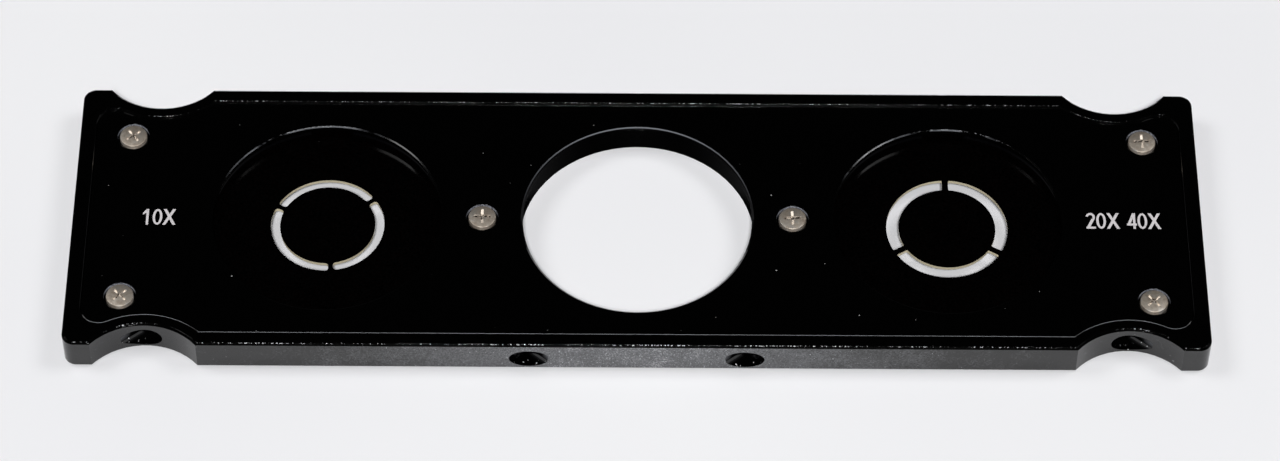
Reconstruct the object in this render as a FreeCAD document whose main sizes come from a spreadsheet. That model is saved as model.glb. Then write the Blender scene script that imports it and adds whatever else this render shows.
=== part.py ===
import FreeCAD, Part
import math
import os
import Sketcher

# Phase contrast slider for a microscope condenser, three positions, in millimetres.
# The long side lies along X, the finger notches and the centring screws are at the front (-Y) and at
# the ends, the detent grooves are at the rear (+Y). The origin is at the middle of the underside.

# Driving sizes: alias, value, what it is.
SIZES = [
    ("plate_length", 160.0, "length of the plate, end to end"),
    ("plate_width", 45.4, "width of the plate, guided in the condenser's slot"),
    ("plate_height", 5.3, "height of the rim, the thickest place"),
    ("corner_radius", 1.8, "radius of the plate's four upright corners"),
    ("edge_break", 0.3, "bevel along the plate's top and bottom outline"),
    ("notch_radius", 9.8, "radius of a finger notch"),
    ("notch_from_end", 11.3, "distance of a notch's centre from the plate's end"),
    ("notch_depth", 3.35, "how far a notch cuts in from the long edge"),
    ("station_pitch", 44.0, "distance from one light position to the next"),
    ("detent_radius", 1.8, "radius of the cutter of a detent groove"),
    ("detent_depth", 0.22, "depth of a detent groove"),
    ("rim_land", 2.15, "width of the rim round the recess of the cover"),
    ("notch_land", 1.75, "width of the rim beside a finger notch"),
    ("recess_radius", 2.8, "radius of the recess in its four corners"),
    ("rim_step", 0.4, "how far the cover lies below the rim"),
    ("cover_thickness", 0.8, "thickness of the cover plate"),
    ("cover_gap", 0.1, "gap between the cover and the rim"),
    ("cover_edge_break", 0.12, "bevel along the cover's outer top edge"),
    ("cover_opening_radius", 16.25, "radius of the cover's three openings"),
    ("middle_bevel", 0.3, "bevel of the cover's middle opening"),
    ("side_bevel", 0.15, "bevel of the cover's two side openings"),
    ("floor_step", 0.45, "how much wider the openings through the plate's floor are"),
    ("pocket_floor", 0.7, "thickness of the floor under a holder"),
    ("holder_overlap", 1.6, "how far a holder stands over the floor's opening"),
    ("holder_float", 0.95, "clearance round a holder, for centring"),
    ("holder_lift", 0.05, "running clearance between a holder and the floor"),
    ("holder_headroom", 0.1, "running clearance between a holder and the cover"),
    ("holder_wall", 0.9, "wall of a holder beside its annulus disc"),
    ("holder_lip", 0.55, "height of a holder above its retaining ring"),
    ("seat_ledge", 1.2, "width of the ledge that an annulus disc lies on"),
    ("disc_clearance", 0.05, "clearance of an annulus disc in its bore"),
    ("disc_thickness", 0.5, "thickness of an annulus disc"),
    ("ring_clearance", 0.02, "clearance of a retaining ring in the holder's bore"),
    ("ring_width", 0.75, "width of a retaining ring's section"),
    ("ring_height", 0.55, "height of a retaining ring's section"),
    ("ring_split", 6.0, "width of the retaining ring's split"),
    ("slot_inner_10x", 6.76, "inner radius of the 10X light ring"),
    ("slot_width_10x", 1.29, "width of the 10X light ring"),
    ("bridge_10x", 0.68, "width of the 10X ring's bridges"),
    ("bridge_angle_10x", 35.5, "direction of the 10X ring's first bridge"),
    ("slot_corner_10x", 0.45, "radius of the corners of the 10X ring's slots"),
    ("slot_inner_20x_40x", 6.89, "inner radius of the 20X 40X light ring"),
    ("slot_width_20x_40x", 1.73, "width of the 20X 40X light ring"),
    ("bridge_20x_40x", 0.88, "width of the 20X 40X ring's bridges"),
    ("bridge_angle_20x_40x", 90.0, "direction of the 20X 40X ring's first bridge"),
    ("slot_corner_20x_40x", 0.2, "radius of the corners of the 20X 40X ring's slots"),
    ("spring_bay_half", 10.0, "half length of the bay for a leaf spring"),
    ("spring_bay_depth", 1.05, "how far the bay reaches behind a holder's pocket"),
    ("spring_thickness", 0.25, "thickness of a leaf spring's strip"),
    ("spring_width", 2.6, "width of a leaf spring's strip, upright"),
    ("spring_foot", 1.8, "length of a leaf spring's flat foot"),
    ("spring_clearance", 0.05, "clearance of a leaf spring at the holder and at the bay's rear"),
    ("spring_end_gap", 0.2, "clearance of a leaf spring at the bay's ends"),
    ("set_screw_radius", 1.45, "radius of a centring screw in its bore"),
    ("set_screw_length", 8.0, "length of a centring screw"),
    ("set_screw_point", 0.45, "bevel of a centring screw's point"),
    ("hex_across_flats", 1.5, "size of the hexagon socket"),
    ("hex_depth", 1.6, "depth of the hexagon socket"),
    ("thread_clearance", 0.05, "clearance of a centring screw in its bore"),
    ("mouth_step", 0.22, "how much wider the mouth of a centring bore is"),
    ("mouth_depth", 3.0, "depth of the widened mouth along the bore"),
    ("bore_roof", 0.3, "wall between a centring bore and the recess of the cover"),
    ("outer_tip_gap", 0.05, "gap between an outer centring screw's point and its holder"),
    ("inner_tip_gap", 0.2, "gap between an inner centring screw's point and its holder"),
    ("cover_screw_from_end", 7.6, "distance of the four outer cover screws from the plate's end"),
    ("cover_screw_from_edge", 8.5, "distance of those screws from the long edges"),
    ("cover_screw_radius", 0.95, "radius of a cover screw's shank"),
    ("cover_screw_length", 3.0, "length of a cover screw under its head"),
    ("cover_screw_clearance", 0.05, "clearance of a cover screw in the plate's hole"),
    ("cover_screw_end_room", 0.25, "room under a cover screw's end"),
    ("cover_hole_clearance", 0.15, "clearance of a cover screw in the cover"),
    ("head_radius", 1.95, "radius of a cover screw's pan head"),
    ("head_clearance", 0.35, "clearance round a head in its counterbore"),
    ("counterbore_depth", 0.45, "depth of the cover's counterbores"),
    ("head_side", 0.4, "height of the straight side of the pan head"),
    ("head_height", 0.85, "height of the pan head"),
    ("crown_step", 0.75, "width of the head's sloping crown"),
]

doc = FreeCAD.newDocument("phase_contrast_slider")
sheet = doc.addObject("Spreadsheet::Sheet", "sizes")
for row, (alias, number, words) in enumerate(SIZES, start=1):
    sheet.set(f"A{row}", words)
    sheet.set(f"B{row}", str(number))
    sheet.setAlias(f"B{row}", alias)
doc.recompute()


class Size:
    """A length with its number now and the sheet formula that gives it."""

    def __init__(self, number, formula=None):
        self.number = number
        self.formula = formula if formula is not None else repr(number)

    def __add__(self, other):
        other = as_size(other)
        return Size(self.number + other.number, f"({self.formula} + {other.formula})")

    def __sub__(self, other):
        other = as_size(other)
        return Size(self.number - other.number, f"({self.formula} - {other.formula})")

    def __mul__(self, other):
        other = as_size(other)
        return Size(self.number * other.number, f"({self.formula} * {other.formula})")

    def __truediv__(self, other):
        other = as_size(other)
        return Size(self.number / other.number, f"({self.formula} / {other.formula})")

    def __neg__(self):
        return Size(-self.number, f"(-1 * {self.formula})")

    def root(self):
        return Size(math.sqrt(self.number), f"sqrt({self.formula})")

    def slope_angle(self, other):
        """The angle in degrees whose tangent is this length over the other."""
        degrees = math.degrees(math.atan2(self.number, other.number))
        return Size(degrees, f"(atan({self.formula} / {other.formula}) / 1 deg)")


def as_size(value):
    return value if isinstance(value, Size) else Size(float(value))


def size(alias):
    """The driving size of that name, read from the sheet."""
    return Size(float(sheet.get(alias)), f"sizes.{alias}")


ZERO = Size(0.0)
TINY = 1e-6

# Heights and places that several pieces share.
half_length = size("plate_length") / 2
half_width = size("plate_width") / 2
plate_top = size("plate_height")
cover_top = plate_top - size("rim_step")
cover_bottom = cover_top - size("cover_thickness")
station_x = size("station_pitch")

# The finger notches, and the centring bores that aim from them at the stations.
notch_x = half_length - size("notch_from_end")
notch_y = half_width - size("notch_depth") + size("notch_radius")
apex_y = half_width - size("notch_depth")
bore_lean = (notch_x - station_x).slope_angle(apex_y)
outer_reach = ((notch_x - station_x) * (notch_x - station_x) + apex_y * apex_y).root()
inner_reach = outer_reach * half_width / apex_y
thread_radius = size("set_screw_radius") + size("thread_clearance")
mouth_radius = thread_radius + size("mouth_step")
bore_height = cover_bottom - size("bore_roof") - thread_radius

# The stack at a side station: floor, holder, annulus disc, retaining ring, cover.
light_radius = size("cover_opening_radius") + size("floor_step")
holder_radius = light_radius + size("holder_overlap")
pocket_radius = holder_radius + size("holder_float")
bay_reach = pocket_radius + size("spring_bay_depth")
holder_bottom = size("pocket_floor") + size("holder_lift")
holder_top = cover_bottom - size("holder_headroom")
ring_top = holder_top - size("holder_lip")
disc_top = ring_top - size("ring_height")
disc_bottom = disc_top - size("disc_thickness")
disc_bore = holder_radius - size("holder_wall")

# The cover's screws, in counterbores.
counterbore_floor = cover_top - size("counterbore_depth")
screw_hole_radius = size("cover_screw_radius") + size("cover_screw_clearance")
cover_hole_radius = size("cover_screw_radius") + size("cover_hole_clearance")
counterbore_radius = size("head_radius") + size("head_clearance")
screw_hole_floor = counterbore_floor - size("cover_screw_length") - size("cover_screw_end_room")
screw_x = half_length - size("cover_screw_from_end")
screw_y = half_width - size("cover_screw_from_edge")
COVER_SCREW_PLACES = {
    "cover_screw_left_front": (-screw_x, -screw_y),
    "cover_screw_left_rear": (-screw_x, screw_y),
    "cover_screw_middle_left": (-station_x / 2, ZERO),
    "cover_screw_middle_right": (station_x / 2, ZERO),
    "cover_screw_right_front": (screw_x, -screw_y),
    "cover_screw_right_rear": (screw_x, screw_y),
}


def bind(thing, name, value):
    thing.setExpression(name, as_size(value).formula)


def plane(body, role):
    """One of a body's own origin planes or axes."""
    for feature in body.Origin.OriginFeatures:
        if feature.Role == role:
            return feature
    raise ValueError(role)


def new_body(label):
    body = doc.addObject("PartDesign::Body", label)
    body.Label = label
    return body


def place(body, x, y=ZERO, z=ZERO, angle=ZERO):
    """Puts a finished body in its place, turned about the upright axis."""
    body.Placement = FreeCAD.Placement(
        FreeCAD.Vector(x.number, y.number, z.number),
        FreeCAD.Rotation(FreeCAD.Vector(0, 0, 1), angle.number))
    bind(body, "Placement.Base.x", x)
    bind(body, "Placement.Base.y", y)
    bind(body, "Placement.Base.z", z)
    bind(body, "Placement.Rotation.Angle", angle)


def new_sketch(body, name, height=None, role="XY_Plane"):
    """A sketch on an origin plane, lifted off it by a height where one is given."""
    sketch = body.newObject("Sketcher::SketchObject", name)
    sketch.AttachmentSupport = [(plane(body, role), "")]
    sketch.MapMode = "FlatFace"
    if height is not None:
        sketch.AttachmentOffset = FreeCAD.Placement(
            FreeCAD.Vector(0, 0, height.number), FreeCAD.Rotation())
        bind(sketch, "AttachmentOffset.Base.z", height)
    return sketch


def turn_sketch(sketch, angle, along_x=ZERO, height=ZERO):
    """Turns a sketch in its own plane and moves its origin along X."""
    sketch.AttachmentOffset = FreeCAD.Placement(
        FreeCAD.Vector(along_x.number, 0, height.number),
        FreeCAD.Rotation(FreeCAD.Vector(0, 0, 1), angle.number))
    bind(sketch, "AttachmentOffset.Rotation.Angle", angle)
    bind(sketch, "AttachmentOffset.Base.x", along_x)
    bind(sketch, "AttachmentOffset.Base.z", height)


def drive(sketch, kind, before, after, value):
    """A dimension between two points, always positive, bound to the sheet."""
    value = as_size(value)
    if value.number < 0:
        before, after, value = after, before, -value
    index = sketch.addConstraint(
        Sketcher.Constraint(kind, before[0], before[1], after[0], after[1], value.number))
    bind(sketch, f"Constraints[{index}]", value)


def place_point(sketch, geometry, position, x, y):
    """Holds a point of the sketch at x, y from its origin."""
    for kind, axis, value in (("DistanceX", -2, x), ("DistanceY", -1, y)):
        value = as_size(value)
        if abs(value.number) < TINY:
            sketch.addConstraint(Sketcher.Constraint("PointOnObject", geometry, position, axis))
        else:
            drive(sketch, kind, (-1, 1), (geometry, position), value)


def set_radius(sketch, geometry, radius):
    index = sketch.addConstraint(Sketcher.Constraint("Radius", geometry, radius.number))
    bind(sketch, f"Constraints[{index}]", radius)


def add_circle(sketch, x, y, radius):
    x = as_size(x)
    y = as_size(y)
    centre = FreeCAD.Vector(x.number, y.number, 0)
    circle = sketch.addGeometry(Part.Circle(centre, FreeCAD.Vector(0, 0, 1), radius.number))
    set_radius(sketch, circle, radius)
    place_point(sketch, circle, 3, x, y)


def add_polygon(sketch, corners):
    """A closed outline of straight lines, each corner held by its two sizes."""
    corners = [(as_size(x), as_size(y)) for x, y in corners]
    count = len(corners)
    lines = []
    for index, (x, y) in enumerate(corners):
        next_x, next_y = corners[(index + 1) % count]
        lines.append(sketch.addGeometry(Part.LineSegment(
            FreeCAD.Vector(x.number, y.number, 0),
            FreeCAD.Vector(next_x.number, next_y.number, 0))))
    for index, line in enumerate(lines):
        sketch.addConstraint(Sketcher.Constraint("Coincident", line, 2, lines[(index + 1) % count], 1))
    for line, (x, y) in zip(lines, corners):
        place_point(sketch, line, 1, x, y)


def pad(body, sketch, name, length):
    feature = body.newObject("PartDesign::Pad", name)
    feature.Profile = sketch
    feature.Length = length.number
    bind(feature, "Length", length)
    doc.recompute()
    return feature


def cut(body, sketch, name, depth=None):
    """A pocket below its sketch, right through where no depth is given."""
    before = body.Shape.Volume
    feature = body.newObject("PartDesign::Pocket", name)
    feature.Profile = sketch
    if depth is None:
        feature.Type = "ThroughAll"
    else:
        feature.Type = "Length"
        feature.Length = depth.number
        bind(feature, "Length", depth)
    doc.recompute()
    if not body.Shape.Volume < before - TINY:
        raise RuntimeError(f"{name} cuts nothing")
    return feature


def revolve(body, sketch, name, kind="PartDesign::Revolution", axis="V_Axis"):
    feature = body.newObject(kind, name)
    feature.Profile = sketch
    feature.ReferenceAxis = (sketch, [axis])
    feature.Angle = 360.0
    doc.recompute()
    return feature


def mirror_to_quarters(body, original, name):
    """Repeats a feature at the other end, at the other long side and at both."""
    pattern = body.newObject("PartDesign::MultiTransform", name)
    pattern.Originals = [original]
    steps = []
    for role in ("YZ_Plane", "XZ_Plane"):
        step = body.newObject("PartDesign::Mirrored", f"{name}_{role[:2].lower()}")
        step.MirrorPlane = (plane(body, role), [""])
        steps.append(step)
    pattern.Transformations = steps
    body.Tip = pattern
    doc.recompute()
    return pattern


def bevel(body, name, edges, width, kind="PartDesign::Chamfer"):
    """Bevels or rounds the edges of the body's last feature."""
    base = body.Tip
    names = [f"Edge{index}" for index, edge in enumerate(base.Shape.Edges, start=1) if edges(edge)]
    if not names:
        raise RuntimeError(f"{name} finds no edge")
    feature = body.newObject(kind, name)
    feature.Base = (base, names)
    if kind == "PartDesign::Chamfer":
        feature.Size = width.number
        bind(feature, "Size", width)
    else:
        feature.Radius = width.number
        bind(feature, "Radius", width)
    doc.recompute()
    return feature


def upright(edge):
    """Whether an edge is a straight line along Z."""
    box = edge.BoundBox
    return box.ZLength > TINY and box.XLength < TINY and box.YLength < TINY


def level(edge, height):
    """Whether an edge lies wholly at a height."""
    box = edge.BoundBox
    return box.ZLength < TINY and abs(box.ZMin - height.number) < TINY


def recess_outline(sketch, margin):
    """One quarter of the recess's outline, drawn in by a margin: two straight walls, the arc that
    leaves the rim its width beside the finger notch, and the rounded corner at the plate's end."""
    end_x = half_length - size("rim_land") - margin
    front_y = half_width - size("rim_land") - margin
    centre_x = notch_x
    arc_radius = size("notch_radius") + size("notch_land") + margin
    corner_radius = size("recess_radius") - margin

    corner_x = end_x.number - corner_radius.number
    reach = arc_radius.number + corner_radius.number
    corner_y = -notch_y.number + math.sqrt(reach ** 2 - (corner_x - centre_x.number) ** 2)
    start_drop = notch_y.number - front_y.number
    start_x = centre_x.number - math.sqrt(arc_radius.number ** 2 - start_drop ** 2)
    towards_corner = math.atan2(corner_y + notch_y.number, corner_x - centre_x.number)
    towards_start = math.atan2(start_drop, start_x - centre_x.number)

    up = FreeCAD.Vector(0, 0, 1)
    notch_centre = FreeCAD.Vector(centre_x.number, -notch_y.number, 0)
    corner_centre = FreeCAD.Vector(corner_x, corner_y, 0)
    start = FreeCAD.Vector(start_x, -front_y.number, 0)
    side = FreeCAD.Vector(end_x.number, corner_y, 0)
    middle_line = FreeCAD.Vector(end_x.number, 0, 0)

    front_line = sketch.addGeometry(Part.LineSegment(FreeCAD.Vector(0, -front_y.number, 0), start))
    notch_arc = sketch.addGeometry(Part.ArcOfCircle(
        Part.Circle(notch_centre, up, arc_radius.number), towards_corner, towards_start))
    corner_arc = sketch.addGeometry(Part.ArcOfCircle(
        Part.Circle(corner_centre, up, corner_radius.number), towards_corner - math.pi, 0.0))
    end_line = sketch.addGeometry(Part.LineSegment(side, middle_line))
    long_line = sketch.addGeometry(Part.LineSegment(middle_line, FreeCAD.Vector(0, 0, 0)))
    short_line = sketch.addGeometry(Part.LineSegment(
        FreeCAD.Vector(0, 0, 0), FreeCAD.Vector(0, -front_y.number, 0)))

    join = sketch.addConstraint
    join(Sketcher.Constraint("Coincident", front_line, 2, notch_arc, 2))
    join(Sketcher.Constraint("Tangent", notch_arc, 1, corner_arc, 1))
    join(Sketcher.Constraint("Tangent", corner_arc, 2, end_line, 1))
    join(Sketcher.Constraint("Coincident", end_line, 2, long_line, 1))
    join(Sketcher.Constraint("Coincident", long_line, 2, short_line, 1))
    join(Sketcher.Constraint("Coincident", short_line, 2, front_line, 1))
    join(Sketcher.Constraint("Coincident", long_line, 2, -1, 1))
    join(Sketcher.Constraint("Horizontal", front_line))
    join(Sketcher.Constraint("Vertical", end_line))
    place_point(sketch, short_line, 2, ZERO, -front_y)
    place_point(sketch, end_line, 2, end_x, ZERO)
    place_point(sketch, notch_arc, 3, centre_x, -notch_y)
    set_radius(sketch, notch_arc, arc_radius)
    set_radius(sketch, corner_arc, corner_radius)


# The plate: milled from one piece, with everything else let into it.

def build_plate():
    body = new_body("slider_body")

    outline = new_sketch(body, "plate_outline")
    add_polygon(outline, [
        (-half_length, -half_width),
        (half_length, -half_width),
        (half_length, half_width),
        (-half_length, half_width),
    ])
    pad(body, outline, "plate_block", plate_top)
    bevel(body, "plate_corners", upright, size("corner_radius"), "PartDesign::Fillet")

    notch = new_sketch(body, "notch_circle", plate_top)
    add_circle(notch, notch_x, -notch_y, size("notch_radius"))
    mirror_to_quarters(body, cut(body, notch, "finger_notch"), "finger_notches")
    bevel(body, "plate_edge_break",
          lambda edge: level(edge, plate_top) or level(edge, ZERO), size("edge_break"))

    detents = new_sketch(body, "detent_circles", plate_top)
    detent_y = half_width + size("detent_radius") - size("detent_depth")
    for x in (-station_x, ZERO, station_x):
        add_circle(detents, x, detent_y, size("detent_radius"))
    cut(body, detents, "detent_grooves")

    recess = new_sketch(body, "recess_quarter", plate_top)
    recess_outline(recess, ZERO)
    recess_cut = cut(body, recess, "cover_recess_quarter", plate_top - cover_bottom)
    mirror_to_quarters(body, recess_cut, "cover_recess")

    pockets = new_sketch(body, "pocket_circles", cover_bottom)
    for x in (-station_x, station_x):
        add_circle(pockets, x, ZERO, pocket_radius)
    cut(body, pockets, "holder_pockets", cover_bottom - size("pocket_floor"))

    bays = new_sketch(body, "bay_outlines", cover_bottom)
    for x in (-station_x, station_x):
        add_polygon(bays, [
            (x - size("spring_bay_half"), ZERO),
            (x + size("spring_bay_half"), ZERO),
            (x + size("spring_bay_half"), bay_reach),
            (x - size("spring_bay_half"), bay_reach),
        ])
    cut(body, bays, "spring_bays", cover_bottom - size("pocket_floor"))

    openings = new_sketch(body, "light_circles", cover_bottom)
    for x in (-station_x, ZERO, station_x):
        add_circle(openings, x, ZERO, light_radius)
    cut(body, openings, "light_openings")

    holes = new_sketch(body, "cover_screw_circles", cover_bottom)
    for x, y in COVER_SCREW_PLACES.values():
        add_circle(holes, x, y, screw_hole_radius)
    cut(body, holes, "cover_screw_holes", cover_bottom - screw_hole_floor)

    cut_screw_bores(body)
    return body


def cut_screw_bores(body):
    """The four angled bores: two aim at each side station's centre, one from the long front edge and
    one from the deepest place of the front finger notch. Each widens towards its mouth."""
    for side_name, side in (("left", -1), ("right", 1)):
        for which, lean, reach in (("outer", 1, outer_reach), ("inner", -1, inner_reach)):
            name = f"{side_name}_{which}_bore"
            sketch = new_sketch(body, f"{name}_profile")
            turn_sketch(sketch, Size(-90.0) + bore_lean * (side * lean), station_x * side, bore_height)
            outside = reach + size("mouth_depth")
            widening = reach - size("mouth_depth")
            add_polygon(sketch, [
                (light_radius, ZERO),
                (outside, ZERO),
                (outside, mouth_radius),
                (widening, mouth_radius),
                (widening, thread_radius),
                (light_radius, thread_radius),
            ])
            before = body.Shape.Volume
            revolve(body, sketch, name, "PartDesign::Groove", "H_Axis")
            if not body.Shape.Volume < before - TINY:
                raise RuntimeError(f"{name} cuts nothing")


# The cover: a thin plate let into the recess, with the three openings and the screws' counterbores.

def build_cover():
    body = new_body("cover_plate")
    quarter = new_sketch(body, "cover_quarter", cover_bottom)
    recess_outline(quarter, size("cover_gap"))
    quarter_pad = pad(body, quarter, "cover_quarter_pad", size("cover_thickness"))
    mirror_to_quarters(body, quarter_pad, "cover_outline")
    bevel(body, "cover_edge", lambda edge: level(edge, cover_top), size("cover_edge_break"))

    openings = new_sketch(body, "opening_circles", cover_top)
    for x in (-station_x, ZERO, station_x):
        add_circle(openings, x, ZERO, size("cover_opening_radius"))
    cut(body, openings, "cover_openings")

    def opening_edge(edge, middle):
        round_edge = level(edge, cover_top) and isinstance(edge.Curve, Part.Circle)
        if not round_edge or abs(edge.Curve.Radius - size("cover_opening_radius").number) > TINY:
            return False
        return (abs(edge.Curve.Center.x) < light_radius.number) == middle

    bevel(body, "middle_opening_bevel", lambda edge: opening_edge(edge, True),
          size("middle_bevel"))
    bevel(body, "side_opening_bevels", lambda edge: opening_edge(edge, False),
          size("side_bevel"))

    bores = new_sketch(body, "counterbore_circles", cover_top)
    holes = new_sketch(body, "clearance_circles", cover_top)
    for x, y in COVER_SCREW_PLACES.values():
        add_circle(bores, x, y, counterbore_radius)
        add_circle(holes, x, y, cover_hole_radius)
    cut(body, bores, "counterbores", size("counterbore_depth"))
    cut(body, holes, "clearance_holes")
    return body


# Six cover screws, their heads sunk in the counterbores.

def build_cover_screw(label, x, y):
    """A small screw with a low pan head. Its cross recess is left to the visual model."""
    body = new_body(label)
    profile = new_sketch(body, f"{label}_profile", role="XZ_Plane")
    shank = size("cover_screw_radius")
    shank_end = -size("cover_screw_length")
    head = size("head_radius")
    add_polygon(profile, [
        (ZERO, shank_end),
        (shank, shank_end),
        (shank, ZERO),
        (head, ZERO),
        (head, size("head_side")),
        (head - size("crown_step"), size("head_height")),
        (ZERO, size("head_height")),
    ])
    revolve(body, profile, f"{label}_turned")
    place(body, x, y, counterbore_floor)
    return body


# The parts of one side station, turned or stamped about the station's own centre.

def build_holder(label, side):
    """A turned ring with a ledge for the annulus disc and a bore that keeps it centred."""
    body = new_body(label)
    profile = new_sketch(body, f"{label}_profile", role="XZ_Plane")
    ledge_radius = disc_bore - size("seat_ledge")
    add_polygon(profile, [
        (ledge_radius, holder_bottom),
        (holder_radius, holder_bottom),
        (holder_radius, holder_top),
        (disc_bore, holder_top),
        (disc_bore, disc_bottom),
        (ledge_radius, disc_bottom),
    ])
    revolve(body, profile, f"{label}_turned")
    place(body, station_x * side)
    return body


def build_annulus(label, side, kind):
    """A thin disc with a ring of light: three slots between three bridges."""
    body = new_body(label)
    outline = new_sketch(body, f"{label}_outline", disc_bottom)
    add_circle(outline, ZERO, ZERO, disc_bore - size("disc_clearance"))
    pad(body, outline, f"{label}_disc", size("disc_thickness"))

    inner = size(f"slot_inner_{kind}")
    outer = inner + size(f"slot_width_{kind}")
    half_bridge = size(f"bridge_{kind}") / 2
    slot = new_sketch(body, f"{label}_slot_outline")
    turn_sketch(slot, size(f"bridge_angle_{kind}"), ZERO, disc_top)
    third = 2 * math.pi / 3
    starts = {}
    for radius in (inner, outer):
        starts[radius] = math.asin(half_bridge.number / radius.number)
    up = FreeCAD.Vector(0, 0, 1)
    centre = FreeCAD.Vector(0, 0, 0)

    def on_arc(radius, angle):
        return FreeCAD.Vector(radius.number * math.cos(angle), radius.number * math.sin(angle), 0)

    outer_arc = slot.addGeometry(Part.ArcOfCircle(
        Part.Circle(centre, up, outer.number), starts[outer], third - starts[outer]))
    inner_arc = slot.addGeometry(Part.ArcOfCircle(
        Part.Circle(centre, up, inner.number), starts[inner], third - starts[inner]))
    first_end = slot.addGeometry(Part.LineSegment(
        on_arc(inner, starts[inner]), on_arc(outer, starts[outer])))
    last_end = slot.addGeometry(Part.LineSegment(
        on_arc(inner, third - starts[inner]), on_arc(outer, third - starts[outer])))
    join = slot.addConstraint
    join(Sketcher.Constraint("Coincident", outer_arc, 3, -1, 1))
    join(Sketcher.Constraint("Coincident", inner_arc, 3, -1, 1))
    set_radius(slot, outer_arc, outer)
    set_radius(slot, inner_arc, inner)
    join(Sketcher.Constraint("Coincident", first_end, 1, inner_arc, 1))
    join(Sketcher.Constraint("Coincident", first_end, 2, outer_arc, 1))
    join(Sketcher.Constraint("Coincident", last_end, 1, inner_arc, 2))
    join(Sketcher.Constraint("Coincident", last_end, 2, outer_arc, 2))
    join(Sketcher.Constraint("Horizontal", first_end))
    drive(slot, "DistanceY", (-1, 1), (first_end, 1), half_bridge)
    join(Sketcher.Constraint("Angle", -1, 1, last_end, 1, third))
    index = join(Sketcher.Constraint("Distance", -1, 1, last_end, half_bridge.number))
    bind(slot, f"Constraints[{index}]", half_bridge)
    slot_cut = cut(body, slot, f"{label}_slot")

    ring = body.newObject("PartDesign::PolarPattern", f"{label}_slots")
    ring.Originals = [slot_cut]
    ring.Axis = (plane(body, "Z_Axis"), [""])
    ring.Angle = 360.0
    ring.Occurrences = 3
    body.Tip = ring
    doc.recompute()

    def slot_corner(edge):
        if not upright(edge):
            return False
        point = edge.Vertexes[0].Point
        away = math.hypot(point.x, point.y)
        return inner.number - TINY < away < outer.number + TINY

    bevel(body, f"{label}_slot_corners", slot_corner, size(f"slot_corner_{kind}"),
          "PartDesign::Fillet")
    place(body, station_x * side)
    return body


def build_retaining_ring(label, side):
    """A split ring that springs against the holder's bore and keeps the disc down."""
    body = new_body(label)
    outline = new_sketch(body, f"{label}_circles", disc_top)
    outside = disc_bore - size("ring_clearance")
    add_circle(outline, ZERO, ZERO, outside)
    add_circle(outline, ZERO, ZERO, outside - size("ring_width"))
    pad(body, outline, f"{label}_band", size("ring_height"))
    split = new_sketch(body, f"{label}_split_outline", ring_top)
    half_split = size("ring_split") / 2
    add_polygon(split, [
        (-half_split, outside - size("ring_width") * 2),
        (half_split, outside - size("ring_width") * 2),
        (half_split, outside + size("ring_width")),
        (-half_split, outside + size("ring_width")),
    ])
    cut(body, split, f"{label}_split")
    place(body, station_x * side)
    return body


def build_leaf_spring(label, side):
    """A bowed strip of spring steel: two flat feet on the bay's rear wall, and a bow between them
    whose middle presses on the holder's rear."""
    body = new_body(label)
    thick = size("spring_thickness")
    foot_outside = bay_reach - size("spring_clearance")
    foot_inside = foot_outside - thick
    end_x = size("spring_bay_half") - size("spring_end_gap")
    bow_x = end_x - size("spring_foot")
    touch = holder_radius + size("spring_clearance")
    rise = foot_inside - touch
    bow_radius = (bow_x * bow_x + rise * rise) / (rise * 2)

    mid_height = (holder_bottom + holder_top) / 2
    outline = new_sketch(body, f"{label}_outline", mid_height - size("spring_width") / 2)
    up = FreeCAD.Vector(0, 0, 1)

    def line(x1, y1, x2, y2):
        return outline.addGeometry(Part.LineSegment(
            FreeCAD.Vector(x1.number, y1.number, 0), FreeCAD.Vector(x2.number, y2.number, 0)))

    def bow(low_y):
        centre_y = low_y.number + bow_radius.number
        half_angle = math.asin(bow_x.number / bow_radius.number)
        middle = -math.pi / 2
        return outline.addGeometry(Part.ArcOfCircle(
            Part.Circle(FreeCAD.Vector(0, centre_y, 0), up, bow_radius.number),
            middle - half_angle, middle + half_angle))

    front_bow = bow(touch)
    right_under = line(bow_x, foot_inside, end_x, foot_inside)
    right_end = line(end_x, foot_inside, end_x, foot_outside)
    right_over = line(end_x, foot_outside, bow_x, foot_outside)
    rear_bow = bow(touch + thick)
    left_over = line(-bow_x, foot_outside, -end_x, foot_outside)
    left_end = line(-end_x, foot_outside, -end_x, foot_inside)
    left_under = line(-end_x, foot_inside, -bow_x, foot_inside)
    join = outline.addConstraint
    join(Sketcher.Constraint("Coincident", front_bow, 2, right_under, 1))
    join(Sketcher.Constraint("Coincident", right_under, 2, right_end, 1))
    join(Sketcher.Constraint("Coincident", right_end, 2, right_over, 1))
    join(Sketcher.Constraint("Coincident", right_over, 2, rear_bow, 2))
    join(Sketcher.Constraint("Coincident", rear_bow, 1, left_over, 1))
    join(Sketcher.Constraint("Coincident", left_over, 2, left_end, 1))
    join(Sketcher.Constraint("Coincident", left_end, 2, left_under, 1))
    join(Sketcher.Constraint("Coincident", left_under, 2, front_bow, 1))
    for piece, x, y in ((right_under, bow_x, foot_inside), (right_end, end_x, foot_inside),
                        (right_over, end_x, foot_outside), (left_over, -bow_x, foot_outside),
                        (left_end, -end_x, foot_outside), (left_under, -end_x, foot_inside)):
        place_point(outline, piece, 1, x, y)
    place_point(outline, front_bow, 1, -bow_x, foot_inside)
    place_point(outline, right_over, 2, bow_x, foot_outside)
    for piece in (front_bow, rear_bow):
        set_radius(outline, piece, bow_radius)
    pad(body, outline, f"{label}_strip", size("spring_width"))
    place(body, station_x * side)
    return body


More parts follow.
